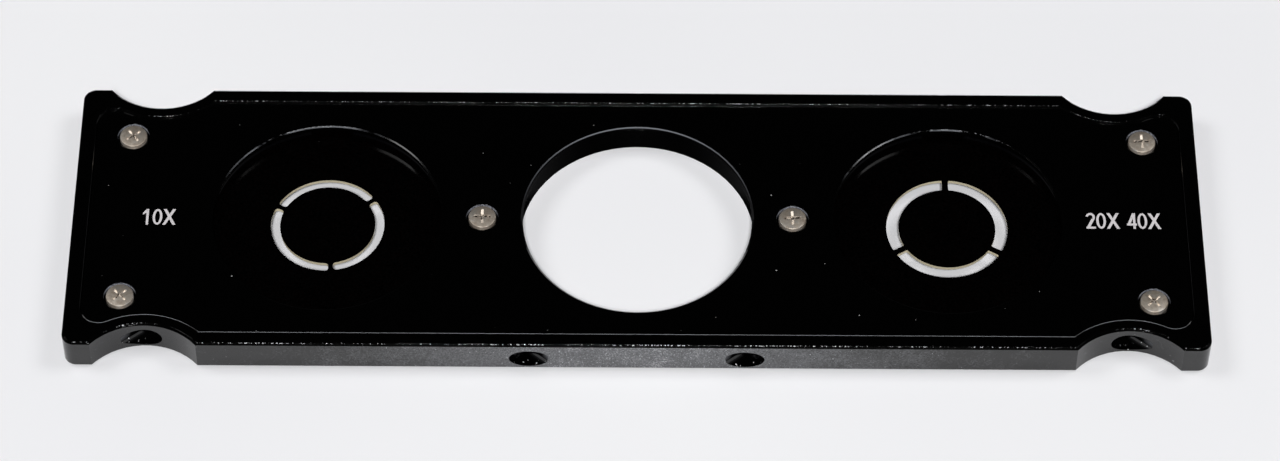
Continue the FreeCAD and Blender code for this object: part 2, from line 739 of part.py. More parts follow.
def build_centring_screw(label, side, lean, tip_gap):
    """A socket set screw in its bore, its point towards the holder's rim."""
    body = new_body(label)
    profile = new_sketch(body, f"{label}_profile")
    radius = size("set_screw_radius")
    point = size("set_screw_point")
    length = size("set_screw_length")
    add_polygon(profile, [
        (ZERO, ZERO),
        (length, ZERO),
        (length, radius),
        (point, radius),
        (ZERO, radius - point),
    ])
    revolve(body, profile, f"{label}_turned", axis="H_Axis")
    socket = new_sketch(body, f"{label}_hexagon", length, "YZ_Plane")
    corner = size("hex_across_flats") / math.sqrt(3)
    flat = size("hex_across_flats") / 2
    add_polygon(socket, [
        (corner, ZERO),
        (corner / 2, flat),
        (-corner / 2, flat),
        (-corner, ZERO),
        (-corner / 2, -flat),
        (corner / 2, -flat),
    ])
    cut(body, socket, f"{label}_socket", size("hex_depth"))
    reach = holder_radius + tip_gap
    across = reach * (notch_x - station_x) / outer_reach * (side * lean)
    forward = reach * apex_y / outer_reach
    place(body, station_x * side + across, -forward, bore_height,
          Size(-90.0) + bore_lean * (side * lean))
    return body


bodies = [build_plate(), build_cover()]
for label, (x, y) in COVER_SCREW_PLACES.items():
    bodies.append(build_cover_screw(label, x, y))
for kind, side, side_name in (("10x", -1, "left"), ("20x_40x", 1, "right")):
    bodies.append(build_holder(f"holder_{kind}", side))
    bodies.append(build_annulus(f"annulus_{kind}", side, kind))
    bodies.append(build_retaining_ring(f"retaining_ring_{kind}", side))
    bodies.append(build_leaf_spring(f"leaf_spring_{side_name}", side))
    bodies.append(build_centring_screw(
        f"centring_screw_{side_name}_outer", side, 1, size("outer_tip_gap")))
    bodies.append(build_centring_screw(
        f"centring_screw_{side_name}_inner", side, -1, size("inner_tip_gap")))
doc.recompute()

for thing in doc.Objects:
    if "Invalid" in thing.State or "Error" in thing.State:
        raise RuntimeError(f"{thing.Label} failed: {thing.State}")
os.makedirs("parts", exist_ok=True)
for body in bodies:
    shape = body.Shape
    if shape.isNull() or not shape.isValid() or len(shape.Solids) != 1:
        raise RuntimeError(f"{body.Label} has no sound solid")
    shape.exportStep(os.path.join("parts", f"{body.Label}.step"))
    print(f"{body.Label}: {shape.Volume:.1f} mm3")
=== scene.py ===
import math

import bmesh
import bpy
from mathutils import Matrix, Vector


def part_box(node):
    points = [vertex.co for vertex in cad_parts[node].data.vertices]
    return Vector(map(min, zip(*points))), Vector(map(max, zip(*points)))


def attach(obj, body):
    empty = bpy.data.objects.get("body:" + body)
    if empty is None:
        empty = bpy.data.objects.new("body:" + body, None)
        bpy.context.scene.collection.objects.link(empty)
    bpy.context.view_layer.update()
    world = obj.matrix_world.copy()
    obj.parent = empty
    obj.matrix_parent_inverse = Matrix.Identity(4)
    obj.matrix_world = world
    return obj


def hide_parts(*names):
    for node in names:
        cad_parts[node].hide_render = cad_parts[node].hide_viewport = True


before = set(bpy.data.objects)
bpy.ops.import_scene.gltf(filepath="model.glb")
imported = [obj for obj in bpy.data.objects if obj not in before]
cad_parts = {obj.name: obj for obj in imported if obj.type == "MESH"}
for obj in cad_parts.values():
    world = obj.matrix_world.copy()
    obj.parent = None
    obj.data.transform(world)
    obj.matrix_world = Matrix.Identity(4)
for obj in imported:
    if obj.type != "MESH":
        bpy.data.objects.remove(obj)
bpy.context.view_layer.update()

# The plate
# One flat bar of aluminium, milled to shape, glass bead blasted and anodised black. It carries every
# other piece and is the only one that the microscope's condenser touches.

MM = 0.001

# The outline of the plate in millimetres from its middle, and how far within it a wall still counts as
# an outer wall. The rear edge has more, for its detent grooves. The rim's painted reflection line is drawn
# in front of FRONT_RIM only, and painted glints only in a band below the top.
PLATE_TOP = 5.3
LONG_EDGE = 22.7
END_EDGE = 80.0
NOTCH_CENTRE = (68.7, 29.15)
NOTCH_RADIUS = 9.8
CORNER_CUT = 2.2
EDGE_ALLOWANCE = 0.1
NOTCH_ALLOWANCE = 0.06
DETENT_ALLOWANCE = 0.15
FRONT_RIM = -10.0
GLINT_BAND = 0.45

# The bore mouths, in millimetres above the plate's underside, and how deep they and their painted light
# reach.
MOUTH_BOTTOM = 0.5
MOUTH_TOP = 4.4
MOUTH_DEPTH = 3.0
LIP_TOP = 1.8
LIP_DEPTH = 1.0

# The finish: the sizes of its patterns in millimetres, the painted glints' rise in degrees and their turn
# to the middle for each metre, and how far the normals of grooved walls are lifted.
BLAST_GRAIN = 0.2
BLAST_DEPTH = 0.012
PATCH_SIZE = 3.0
HIGHLIGHT_REACH = 62.0
EDGE_ROUNDING = 0.05
SHARP_ROUNDING = 0.004
REFLECTION_ROUNDING = 0.3
GLINT_EDGE = 0.24
GLINT_SPACING = 0.28
GLINT_STRETCH = 7.0
GLINT_RISE = 57.5
GLINT_LEAN = 1.6
SPECK_SPACING = 0.32
MOUTH_GLINT_SPACING = 0.36
GROOVE_SLOPE = 0.84
WALL_SLOPE = 0.3


def linear(hex_colour):
    """The linear colour that Blender's sockets take, from an sRGB hex value."""
    parts = [int(hex_colour[start:start + 2], 16) / 255 for start in (1, 3, 5)]
    parts = [part / 12.92 if part <= 0.04045 else ((part + 0.055) / 1.055) ** 2.4 for part in parts]
    return (*parts, 1.0)


def per_mm(millimetres):
    """The scale of a texture whose pattern repeats after that many millimetres."""
    return 1 / (millimetres * MM)


def new_material(name):
    """A material with its shader and the place on the piece that its patterns start from."""
    material = bpy.data.materials.new(name)
    material.use_nodes = True
    tree = material.node_tree
    place = tree.nodes.new("ShaderNodeTexCoord")
    return material, tree, tree.nodes["Principled BSDF"], place


def add_node(tree, kind, settings, links=None):
    """A node with its settings and the outputs that feed it, both by socket or property name."""
    node = tree.nodes.new(kind)
    for name, value in settings.items():
        if name == "stops":
            ramp = node.color_ramp
            while len(ramp.elements) < len(value):
                ramp.elements.new(1.0)
            for element, (position, colour) in zip(ramp.elements, value):
                element.position = position
                element.color = linear(colour)
        elif isinstance(name, int) or name in node.inputs:
            node.inputs[name].default_value = value
        else:
            setattr(node, name, value)
    for name, output in (links or {}).items():
        tree.links.new(output, node.inputs[name])
    return node


def set_shader(shader, settings, tree, links):
    """Constants go straight on the shader's own sockets, patterns are linked to them."""
    for name, value in settings.items():
        shader.inputs[name].default_value = value
    for name, output in links.items():
        tree.links.new(output, shader.inputs[name])


def amount(tree, value, low, high, to_low=0.0, to_high=1.0):
    """A number that goes from one limit to the other while the value goes from low to high."""
    node = add_node(tree, "ShaderNodeMapRange", {"From Min": low, "From Max": high, "To Min": to_low,
                                                 "To Max": to_high}, {"Value": value})
    return node.outputs["Result"]


def maths(tree, operation, first, second=0.0):
    """One operation on two patterns, or on a pattern and a number."""
    node = add_node(tree, "ShaderNodeMath", {"operation": operation})
    for index, value in enumerate((first, second)):
        if isinstance(value, (int, float)):
            node.inputs[index].default_value = value
        else:
            tree.links.new(value, node.inputs[index])
    return node.outputs[0]


def product(tree, first, *others):
    """Masks and numbers multiplied, so that masks leave only what all of them cover."""
    for other in others:
        first = maths(tree, "MULTIPLY", first, other)
    return first


def parts_of(tree, vector):
    """The three numbers of a vector."""
    return add_node(tree, "ShaderNodeSeparateXYZ", {}, {"Vector": vector}).outputs


def is_wall(tree, normal):
    """Where a face is upright, or nearly."""
    return maths(tree, "LESS_THAN", maths(tree, "ABSOLUTE", parts_of(tree, normal)["Z"]), WALL_SLOPE)


def mixed(tree, share, first, second):
    """A colour between two others, each a hex value or a pattern."""
    node = add_node(tree, "ShaderNodeMix", {"data_type": "RGBA"})
    for index, value in ((0, share), (6, first), (7, second)):
        if isinstance(value, str):
            node.inputs[index].default_value = linear(value)
        else:
            tree.links.new(value, node.inputs[index])
    return node.outputs[2]


def edge_glints(tree, here, radius, rise, low, high):
    """Painted glints in spots along the edges that lean to the front and slightly to the middle."""
    turn = math.radians(rise)
    rounded = add_node(tree, "ShaderNodeBevel", {"Radius": radius * MM, "samples": 8})
    lean = add_node(tree, "ShaderNodeVectorMath",
                    {"operation": "MULTIPLY_ADD", 1: (-GLINT_LEAN, 0.0, 0.0),
                     2: (0.0, -math.cos(turn), math.sin(turn))}, {0: here})
    along = add_node(tree, "ShaderNodeVectorMath", {"operation": "NORMALIZE"},
                     {0: lean.outputs["Vector"]})
    match = add_node(tree, "ShaderNodeVectorMath", {"operation": "DOT_PRODUCT"},
                     {0: rounded.outputs["Normal"], 1: along.outputs["Vector"]})
    spots = add_node(tree, "ShaderNodeTexNoise", {"Scale": per_mm(GLINT_SPACING), "Detail": 3.0},
                     {"Vector": here})
    stretches = add_node(tree, "ShaderNodeTexNoise", {"Scale": per_mm(GLINT_STRETCH)}, {"Vector": here})
    chance = maths(tree, "ADD", spots.outputs["Fac"],
                   amount(tree, stretches.outputs["Fac"], 0.3, 0.7, -0.07, 0.07))
    return product(tree, amount(tree, match.outputs["Value"], 0.976, 0.988),
                   amount(tree, chance, low, high))


def lifted_normal(tree, smooth, where, slope=GROOVE_SLOPE):
    """The normal of a wall with fine level grooves, whose upper flanks are what a viewer sees."""
    raised = add_node(tree, "ShaderNodeVectorMath", {"operation": "ADD", 1: (0.0, 0.0, slope)},
                      {0: smooth})
    flank = add_node(tree, "ShaderNodeVectorMath", {"operation": "NORMALIZE"},
                     {0: raised.outputs["Vector"]})
    surface = add_node(tree, "ShaderNodeMix", {"data_type": "VECTOR"},
                       {0: where, 4: smooth, 5: flank.outputs["Vector"]})
    return surface.outputs[1]


def finish_node(node, material):
    """Gives a CAD node its real material."""
    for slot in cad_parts[node].material_slots:
        slot.material = material


# Black anodised aluminium, bead blasted: the dyed oxide is almost black. On the outer walls the grain
# is painted grey as a broad highlight of the flash, brightest in the middle of the long edges, with
# light specks that are painted glints. Painted glints of the flash also run along the front edges.
plate_black, tree, shader, place = new_material("black_anodised_aluminium_bead_blasted")
here = place.outputs["Object"]
grain = add_node(tree, "ShaderNodeTexNoise", {"Scale": per_mm(BLAST_GRAIN), "Detail": 2.0,
                                              "Roughness": 0.7}, {"Vector": here}).outputs["Fac"]
patches = add_node(tree, "ShaderNodeTexNoise", {"Scale": per_mm(PATCH_SIZE), "Detail": 3.0},
                   {"Vector": here})
position = parts_of(tree, here)
facing = parts_of(tree, place.outputs["Normal"])
upright = is_wall(tree, place.outputs["Normal"])
away = maths(tree, "ABSOLUTE", position["X"])
across = maths(tree, "ABSOLUTE", position["Y"])
from_notch = add_node(tree, "ShaderNodeCombineXYZ", {}, {
    "X": maths(tree, "SUBTRACT", away, NOTCH_CENTRE[0] * MM),
    "Y": maths(tree, "SUBTRACT", across, NOTCH_CENTRE[1] * MM)})
notch_distance = add_node(tree, "ShaderNodeVectorMath", {"operation": "LENGTH"},
                          {0: from_notch.outputs["Vector"]})
detent_share = product(tree, maths(tree, "GREATER_THAN", position["Y"]), DETENT_ALLOWANCE * MM)
on_edge = maths(tree, "GREATER_THAN", maths(tree, "ADD", across, detent_share),
                (LONG_EDGE - EDGE_ALLOWANCE) * MM)
on_end = maths(tree, "GREATER_THAN", away, (END_EDGE - EDGE_ALLOWANCE) * MM)
on_corner = maths(tree, "GREATER_THAN", maths(tree, "ADD", away, across),
                  (END_EDGE + LONG_EDGE - CORNER_CUT) * MM)
in_notch = maths(tree, "LESS_THAN", notch_distance.outputs["Value"],
                 (NOTCH_RADIUS + NOTCH_ALLOWANCE) * MM)
outline = maths(tree, "MAXIMUM", maths(tree, "MAXIMUM", on_edge, on_end),
                maths(tree, "MAXIMUM", on_corner, in_notch))
outer_wall = product(tree, outline, upright)
# A painted highlight of the flash: the walls turn from black at the ends to grey in the middle.
flash_highlight = add_node(tree, "ShaderNodeMapRange", {"From Min": HIGHLIGHT_REACH * MM, "From Max": 0.0,
                                               "To Min": -0.09, "To Max": 0.38,
                                               "interpolation_type": "SMOOTHSTEP"}, {"Value": away})
patches_and_highlight = maths(tree, "ADD", product(tree, patches.outputs["Fac"], 0.35), flash_highlight.outputs["Result"])
grain_and_highlight = maths(tree, "SUBTRACT", maths(tree, "ADD", product(tree, grain, 0.9), patches_and_highlight), 0.5)
wall_grey = add_node(tree, "ShaderNodeValToRGB",
                     {"stops": [(0.1, "#0A0A0A"), (0.55, "#5F6063"), (0.85, "#C4C5C8")]}, {"Fac": grain_and_highlight})

# Painted glints: single grains are painted bright, most where the painted highlight is strongest.
speck_glints = add_node(tree, "ShaderNodeTexNoise", {"Scale": per_mm(SPECK_SPACING), "Detail": 1.0},
                   {"Vector": here})
speck_glint_chance = maths(tree, "ADD", speck_glints.outputs["Fac"], product(tree, flash_highlight.outputs["Result"], 0.22))
wall_colour = mixed(tree, amount(tree, speck_glint_chance, 0.73, 0.84), wall_grey.outputs["Color"], "#B4B6BA")

# The rim's inner front edge carries a painted reflection: the rounding that turns into the recess is
# painted grey where it faces the rear, and fades where the edge turns away. The outer front edge has
# painted glints.
turned = add_node(tree, "ShaderNodeBevel", {"Radius": REFLECTION_ROUNDING * MM, "samples": 8})
turned_parts = parts_of(tree, turned.outputs["Normal"])
rearward = amount(tree, turned_parts["Y"], 0.4, 0.6)
sideways = product(tree, maths(tree, "ABSOLUTE", turned_parts["X"]), 1.25)
facing_rear = amount(tree, maths(tree, "SUBTRACT", turned_parts["Y"], sideways), 0.02, 0.14)
front_half = maths(tree, "LESS_THAN", position["Y"], FRONT_RIM * MM)
on_top = maths(tree, "GREATER_THAN", position["Z"], (PLATE_TOP - EDGE_ROUNDING) * MM)
rim_painted_reflection = product(tree, rearward, facing_rear, front_half, on_top)
oxide_and_rim_reflection = mixed(tree, rim_painted_reflection, "#010101", "#A6A8AD")
near_top = maths(tree, "GREATER_THAN", position["Z"], (PLATE_TOP - GLINT_BAND) * MM)
# Painted glints of the flash along the top edges that face it, in a band below the top.
glinted = edge_glints(tree, here, GLINT_EDGE, GLINT_RISE, 0.56, 0.64)
plate_glints = product(tree, glinted, near_top)
oxide_and_painted_light = mixed(tree, outer_wall, oxide_and_rim_reflection, wall_colour)
glinted_colour = mixed(tree, plate_glints, oxide_and_painted_light, "#F2F2F6")

# Inside the mouths of the centring bores a painted reflection makes the upper half of the flank that
# faces the front grey at its edge, and painted glints light a few spots on the lower lip.
depth = maths(tree, "MINIMUM", maths(tree, "SUBTRACT", LONG_EDGE * MM, across),
              maths(tree, "SUBTRACT", notch_distance.outputs["Value"], NOTCH_RADIUS * MM))
between = product(tree, maths(tree, "GREATER_THAN", position["Z"], MOUTH_BOTTOM * MM),
                  maths(tree, "LESS_THAN", position["Z"], MOUTH_TOP * MM))
front_side = maths(tree, "LESS_THAN", position["Y"])
inside = product(tree, maths(tree, "SUBTRACT", 1.0, outer_wall),
                 maths(tree, "LESS_THAN", depth, MOUTH_DEPTH * MM))
mouth_wall = product(tree, between, front_side, inside)
upper_half = amount(tree, position["Z"], 1.7 * MM, 2.4 * MM)
# Painted reflection on the flank that faces the front.
flank_painted_reflection = product(tree, mouth_wall, upper_half, amount(tree, facing["Y"], -0.45, -0.6),
                       amount(tree, depth, 0.8 * MM, 0.15 * MM))
# Painted glints on the lower lip.
mouth_glint_noise = add_node(tree, "ShaderNodeTexNoise", {"Scale": per_mm(MOUTH_GLINT_SPACING), "Detail": 1.0},
                 {"Vector": here})
lower_lip = product(tree, maths(tree, "LESS_THAN", position["Z"], LIP_TOP * MM),
                    maths(tree, "LESS_THAN", depth, LIP_DEPTH * MM))
mouth_glints = product(tree, mouth_wall, lower_lip, amount(tree, mouth_glint_noise.outputs["Fac"], 0.72, 0.76))
flank_reflection_colour = mixed(tree, flank_painted_reflection, glinted_colour, "#505154")
plate_colour = mixed(tree, mouth_glints, flank_reflection_colour, "#E4E4E8")

# The walls of the bores and pockets keep the fine grooves of the tool. The grooves' upper flanks face
# the viewer and throw the table's light away, so these walls look black. So do the slopes that face an
# end and don't lean to the front. The edges are broken unevenly: their rounding comes and goes.
rounding = amount(tree, patches.outputs["Fac"], 0.42, 0.62, SHARP_ROUNDING * MM, EDGE_ROUNDING * MM)
edge = add_node(tree, "ShaderNodeBevel", {}, {"Radius": rounding})
frontward = product(tree, maths(tree, "MINIMUM", facing["Y"]), 0.6)
endward = maths(tree, "ADD", maths(tree, "ABSOLUTE", facing["X"]), frontward)
end_slope = product(tree, maths(tree, "GREATER_THAN", endward, 0.45), maths(tree, "SUBTRACT", 1.0, upright))
grooved = maths(tree, "ADD", maths(tree, "SUBTRACT", upright, outer_wall), end_slope)
surface = lifted_normal(tree, edge.outputs["Normal"], grooved)
relief = add_node(tree, "ShaderNodeBump", {"Strength": 0.4, "Distance": BLAST_DEPTH * MM},
                  {"Height": grain, "Normal": surface})
set_shader(shader, {"Metallic": 0.0, "IOR": 1.5}, tree,
           {"Base Color": plate_colour, "Roughness": amount(tree, grain, 0.35, 0.65, 0.08, 0.14),
            "Normal": relief.outputs["Normal"]})
finish_node("slider_body", plate_black)

# The leaf springs
# Two bowed strips of spring steel, stamped and tempered. Each stands in a bay behind its holder, its
# feet on the bay's rear wall, and presses the holder against the two centring screws.

TEMPER_BAND = 3.0
ROLLING_LINES = 0.2
ROLLING_STRETCH = 0.08
ROLLING_DEPTH = 0.005
spring_steel, tree, shader, place = new_material("tempered_spring_steel_rolled")
# Rolled and tempered steel: a soft grey shine with straw coloured clouds and fine lines lengthwise.
stretched = add_node(tree, "ShaderNodeMapping", {"Scale": (ROLLING_STRETCH, 1.0, 1.0)},
                     {"Vector": place.outputs["Object"]})
lines = add_node(tree, "ShaderNodeTexNoise", {"Scale": per_mm(ROLLING_LINES), "Detail": 4.0},
                 {"Vector": stretched.outputs["Vector"]})
clouds = add_node(tree, "ShaderNodeTexNoise", {"Scale": per_mm(TEMPER_BAND)},
                  {"Vector": place.outputs["Object"]})
straw = add_node(tree, "ShaderNodeValToRGB",
                 {"stops": [(0.3, "#9A9DA2"), (0.55, "#B7B4AA"), (0.75, "#A8946B")]},
                 {"Fac": clouds.outputs["Fac"]})
shine = amount(tree, lines.outputs["Fac"], 0, 1, 0.22, 0.42)
scratches = add_node(tree, "ShaderNodeBump", {"Strength": 0.2, "Distance": ROLLING_DEPTH * MM},
                     {"Height": lines.outputs["Fac"]})
set_shader(shader, {"Metallic": 1.0}, tree,
           {"Base Color": straw.outputs["Color"], "Roughness": shine,
            "Normal": scratches.outputs["Normal"]})
for node in ("leaf_spring_left", "leaf_spring_right"):
    finish_node(node, spring_steel)

# The annulus holders
# Two turned rings of aluminium, anodised black. Each floats in its pocket, carries an annulus disc on
# a ledge and is pushed sideways by its screws to centre the ring of light.

STATION_X = 44.0
TURNING_RINGS = 0.754
TURNING_DEPTH = 0.004
holder_black, tree, shader, place = new_material("black_anodised_aluminium_turned")
# Turned before anodising: fine rings from the tool give a silky shine that runs round the part. They
# are about 0.12 mm apart, too fine to show, so they are drawn coarser. A wave texture goes through 20
# radians for each unit of its scale.
from_axis = add_node(tree, "ShaderNodeVectorMath", {"operation": "ABSOLUTE"},
                     {0: place.outputs["Object"]})
to_station = add_node(tree, "ShaderNodeVectorMath",
                      {"operation": "SUBTRACT", 1: (STATION_X * MM, 0.0, 0.0)},
                      {0: from_axis.outputs["Vector"]})
turning = add_node(tree, "ShaderNodeTexWave",
                   {"wave_type": "RINGS", "rings_direction": "Z", "Distortion": 0.4,
                    "Scale": per_mm(TURNING_RINGS) * math.tau / 20},
                   {"Vector": to_station.outputs["Vector"]})
silk = amount(tree, turning.outputs["Fac"], 0, 1, 0.1, 0.15)
dye = add_node(tree, "ShaderNodeValToRGB", {"stops": [(0.2, "#010102"), (0.9, "#040405")]},
               {"Fac": turning.outputs["Fac"]})
holder_faces = add_node(tree, "ShaderNodeNewGeometry", {})
holder_surface = lifted_normal(tree, holder_faces.outputs["Normal"],
                               is_wall(tree, place.outputs["Normal"]))
rings = add_node(tree, "ShaderNodeBump", {"Strength": 0.25, "Distance": TURNING_DEPTH * MM},
                 {"Height": turning.outputs["Fac"], "Normal": holder_surface})
set_shader(shader, {"Metallic": 0.0, "IOR": 1.5}, tree,
           {"Base Color": dye.outputs["Color"], "Roughness": silk,
            "Normal": rings.outputs["Normal"]})
for node in ("holder_10x", "holder_20x_40x"):
    finish_node(node, holder_black)

# The annulus discs
# Thin brass discs with a ring of light cut through each, three slots between three bridges, and
# blackened chemically so that they reflect nothing back into the condenser.

BLACKENING_GRAIN = 0.3
disc_black, tree, shader, place = new_material("brass_chemically_blackened")
# Blackened brass: a dead black with a trace of brown and hardly any shine. The walls of the slots
# keep the pale tone of the brass.
bloom = add_node(tree, "ShaderNodeTexNoise", {"Scale": per_mm(BLACKENING_GRAIN), "Detail": 5.0},
                 {"Vector": place.outputs["Object"]})
black = add_node(tree, "ShaderNodeValToRGB", {"stops": [(0.35, "#000000"), (0.75, "#030202")]},
                 {"Fac": bloom.outputs["Fac"]})
disc_colour = mixed(tree, is_wall(tree, place.outputs["Normal"]), black.outputs["Color"], "#D8CEB2")
matt = amount(tree, bloom.outputs["Fac"], 0, 1, 0.1, 0.16)
set_shader(shader, {"Metallic": 0.0, "IOR": 1.4}, tree, {"Base Color": disc_colour, "Roughness": matt})
for node in ("annulus_10x", "annulus_20x_40x"):
    finish_node(node, disc_black)

# The retaining rings
# Two split rings of spring steel that grip the holders' bores and keep the discs down on their
# ledges. They are blackened like the discs.

OIL_FILM = 0.5
ring_black, tree, shader, place = new_material("spring_steel_black_oxide")
# Black oxide over drawn steel, dipped in oil: almost black, with a thin shine along the ring.
film = add_node(tree, "ShaderNodeTexNoise", {"Scale": per_mm(OIL_FILM), "Detail": 4.0},
                {"Vector": place.outputs["Object"]})
oxide = add_node(tree, "ShaderNodeValToRGB", {"stops": [(0.3, "#010102"), (0.8, "#050506")]},
                 {"Fac": film.outputs["Fac"]})
oily = amount(tree, film.outputs["Fac"], 0, 1, 0.1, 0.15)
ring_faces = add_node(tree, "ShaderNodeNewGeometry", {})
ring_surface = lifted_normal(tree, ring_faces.outputs["Normal"], is_wall(tree, place.outputs["Normal"]))
set_shader(shader, {"Metallic": 0.0, "IOR": 1.45}, tree,
           {"Base Color": oxide.outputs["Color"], "Roughness": oily, "Normal": ring_surface})
for node in ("retaining_ring_10x", "retaining_ring_20x_40x"):
    finish_node(node, ring_black)

# The centring screws and their threads
# Four M3 socket set screws of alloy steel with black oxide, one in each angled bore. A key put in
# through the bore turns them, and the thread cut in the plate shows inside each mouth.

THREAD_PITCH = 0.5
THREAD_RADIUS = 1.5
THREAD_CREST = 0.17
THREAD_HALF_WIDTH = 0.21
THREAD_ROOT = 0.01
TURN_STEPS = 36
SCREW_LENGTH = 8.0
SCREW_TRAVEL = 0.6
SCREW_CLEARANCE = 0.3
MOUTH_CLEARANCE = 0.25
MOUTH_REACH = {"outer": 31.4, "inner": 36.8}
OXIDE_TINT = 0.7
CREST_PATCH = 0.4

set_screw_black, tree, shader, place = new_material("alloy_steel_black_oxide")
# Black oxide on alloy steel: near black with brown tints, smoother where the key has rubbed.
tint = add_node(tree, "ShaderNodeTexNoise", {"Scale": per_mm(OXIDE_TINT), "Detail": 3.0},
                {"Vector": place.outputs["Object"]})
brown = add_node(tree, "ShaderNodeValToRGB", {"stops": [(0.3, "#151416"), (0.75, "#3A3531")]},
                 {"Fac": tint.outputs["Fac"]})
rub = amount(tree, tint.outputs["Fac"], 0, 1, 0.28, 0.5)
set_shader(shader, {"Metallic": 1.0}, tree, {"Base Color": brown.outputs["Color"], "Roughness": rub})

thread_metal, tree, shader, place = new_material("tapped_aluminium_anodised")
# A tapped thread, anodised with the plate: dark, but thinly coated in patches, which catch light.
crest = add_node(tree, "ShaderNodeTexNoise", {"Scale": per_mm(CREST_PATCH), "Detail": 3.0},
                 {"Vector": place.outputs["Object"]})
thin_dye = add_node(tree, "ShaderNodeValToRGB", {"stops": [(0.4, "#1A1A1B"), (0.62, "#B4B4B8")]},
                    {"Fac": crest.outputs["Fac"]})
set_shader(shader, {"Metallic": 1.0, "Roughness": 0.3}, tree, {"Base Color": thin_dye.outputs["Color"]})


def make_object(name, mesh, material, body):
    """Puts a finished mesh in the scene, on the CAD body that it moves with."""
    thing = bpy.data.objects.new(name, mesh)
    bpy.context.scene.collection.objects.link(thing)
    mesh.materials.append(material)
    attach(thing, body)
    return thing


def thread_mesh(name, start, direction, length):
    """A helical ridge with a triangular section that stands in from a bore's wall."""
    steps = int(length / THREAD_PITCH * TURN_STEPS)
    up = Vector((0, 0, 1))
    side = direction.cross(up).normalized()
    ridge = bmesh.new()
    rows = []
    for step in range(steps + 1):
        angle = math.tau * step / TURN_STEPS
        outward = side * math.cos(angle) + up * math.sin(angle)
        along_bore = length * step / steps
        fade = min(1.0, step / TURN_STEPS * 2, (steps - step) / TURN_STEPS * 2)
        row = []
        for offset, radius in ((-THREAD_HALF_WIDTH, THREAD_RADIUS + THREAD_ROOT),
                               (0.0, THREAD_RADIUS - THREAD_CREST * fade),
                               (THREAD_HALF_WIDTH, THREAD_RADIUS + THREAD_ROOT)):
            point = start + direction * (along_bore + offset) * MM + outward * radius * MM
            row.append(ridge.verts.new(point))
        rows.append(row)
    for before, after in zip(rows, rows[1:]):
        for corner in (0, 1):
            ridge.faces.new((before[corner], before[corner + 1], after[corner + 1], after[corner]))
    bmesh.ops.recalc_face_normals(ridge, faces=ridge.faces)
    mesh = bpy.data.meshes.new(name)
    ridge.to_mesh(mesh)
    ridge.free()
    return mesh


for side_name in ("left", "right"):
    for which in ("outer", "inner"):
        node = f"centring_screw_{side_name}_{which}"
        finish_node(node, set_screw_black)
        low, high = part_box(node)
        middle = (Vector(low) + Vector(high)) / 2
        station = Vector((math.copysign(STATION_X * MM, middle.x), 0, middle.z))
        outward = (middle - station).normalized()
        screw_end = middle + outward * (SCREW_LENGTH / 2 + SCREW_TRAVEL + SCREW_CLEARANCE) * MM
        reached = (screw_end - station).length / MM
        length = MOUTH_REACH[which] - MOUTH_DEPTH - MOUTH_CLEARANCE - reached
        mesh = thread_mesh(f"bore_thread_{side_name}_{which}", screw_end, outward, length)
        thread = make_object(f"bore_thread_{side_name}_{which}", mesh, thread_metal, "slider")

# The cover plate
# A sheet of aluminium 0.8 mm thick, milled and anodised black, let into the recess of the plate. It
# closes the pockets and leaves a hairline seam along the rim.

COVER_TOP = 4.9
SCREW_ROW = 14.2
SCREW_PLACES = ((72.4, SCREW_ROW), (22.0, 0.0))
COUNTERBORE_REACH = 2.7
MIDDLE_REACH = 18.0
MIDDLE_LINE = 0.16
MIDDLE_LINE_FADE = 0.05
LAPPED_GRAIN = 0.25
LAPPED_DEPTH = 0.003
COVER_ROUNDING = 0.01
DUST_SPACING = 9.0
DUST_PATCH = 12.0
LINE_BREAKS = 2.5
SIDE_GLINT_EDGE = 0.16
SIDE_GLINT_RISE = 62.0
FINE_GROOVE_SLOPE = 0.18
BEVEL_GROOVE_SLOPE = 1.6


def to_nearest_screw(tree, here, height):
    """How far a point is from the nearest cover screw's axis at a height, for all four quarters."""
    quarter = add_node(tree, "ShaderNodeVectorMath", {"operation": "ABSOLUTE"}, {0: here})
    reaches = []
    for screw_x, screw_y in SCREW_PLACES:
        middle = (screw_x * MM, screw_y * MM, height * MM)
        reach = add_node(tree, "ShaderNodeVectorMath", {"operation": "DISTANCE", 1: middle},
                         {0: quarter.outputs["Vector"]})
        reaches.append(reach.outputs["Value"])
    return maths(tree, "MINIMUM", *reaches)


cover_black, tree, shader, place = new_material("black_anodised_aluminium_lapped")
# Lapped and anodised: the deepest black of the part, even and faintly glossy, with a little dust.
# The walls of the counterbores are painted pale grey, a painted reflection.
here = place.outputs["Object"]
lapping = add_node(tree, "ShaderNodeTexNoise", {"Scale": per_mm(LAPPED_GRAIN), "Detail": 4.0},
                   {"Vector": here})
dust_cells = add_node(tree, "ShaderNodeTexVoronoi", {"voronoi_dimensions": "2D",
                                                     "Scale": per_mm(DUST_SPACING)}, {"Vector": here})
dust_chance = add_node(tree, "ShaderNodeTexNoise", {"Scale": per_mm(DUST_PATCH)}, {"Vector": here})
dust_size = amount(tree, dust_chance.outputs["Fac"], 0.46, 0.66, 0.0, 0.012)
dust = maths(tree, "LESS_THAN", dust_cells.outputs["Distance"], dust_size)
cover_facing = parts_of(tree, place.outputs["Normal"])
cover_slope = maths(tree, "ABSOLUTE", cover_facing["Z"])
cover_wall = is_wall(tree, place.outputs["Normal"])
# Painted reflection on the walls of the counterbores.
counterbore = maths(tree, "LESS_THAN", to_nearest_screw(tree, here, COVER_TOP), COUNTERBORE_REACH * MM)
counterbore_painted_light = product(tree, counterbore, cover_wall)
counterbore_reflection = add_node(tree, "ShaderNodeValToRGB", {"stops": [(0.35, "#4E5058"), (0.65, "#A8ABB6")]},
                   {"Fac": lapping.outputs["Fac"]})
dusty = mixed(tree, dust, "#010101", "#8C8C8C")
dust_and_counterbore_light = mixed(tree, counterbore_painted_light, dusty, counterbore_reflection.outputs["Color"])
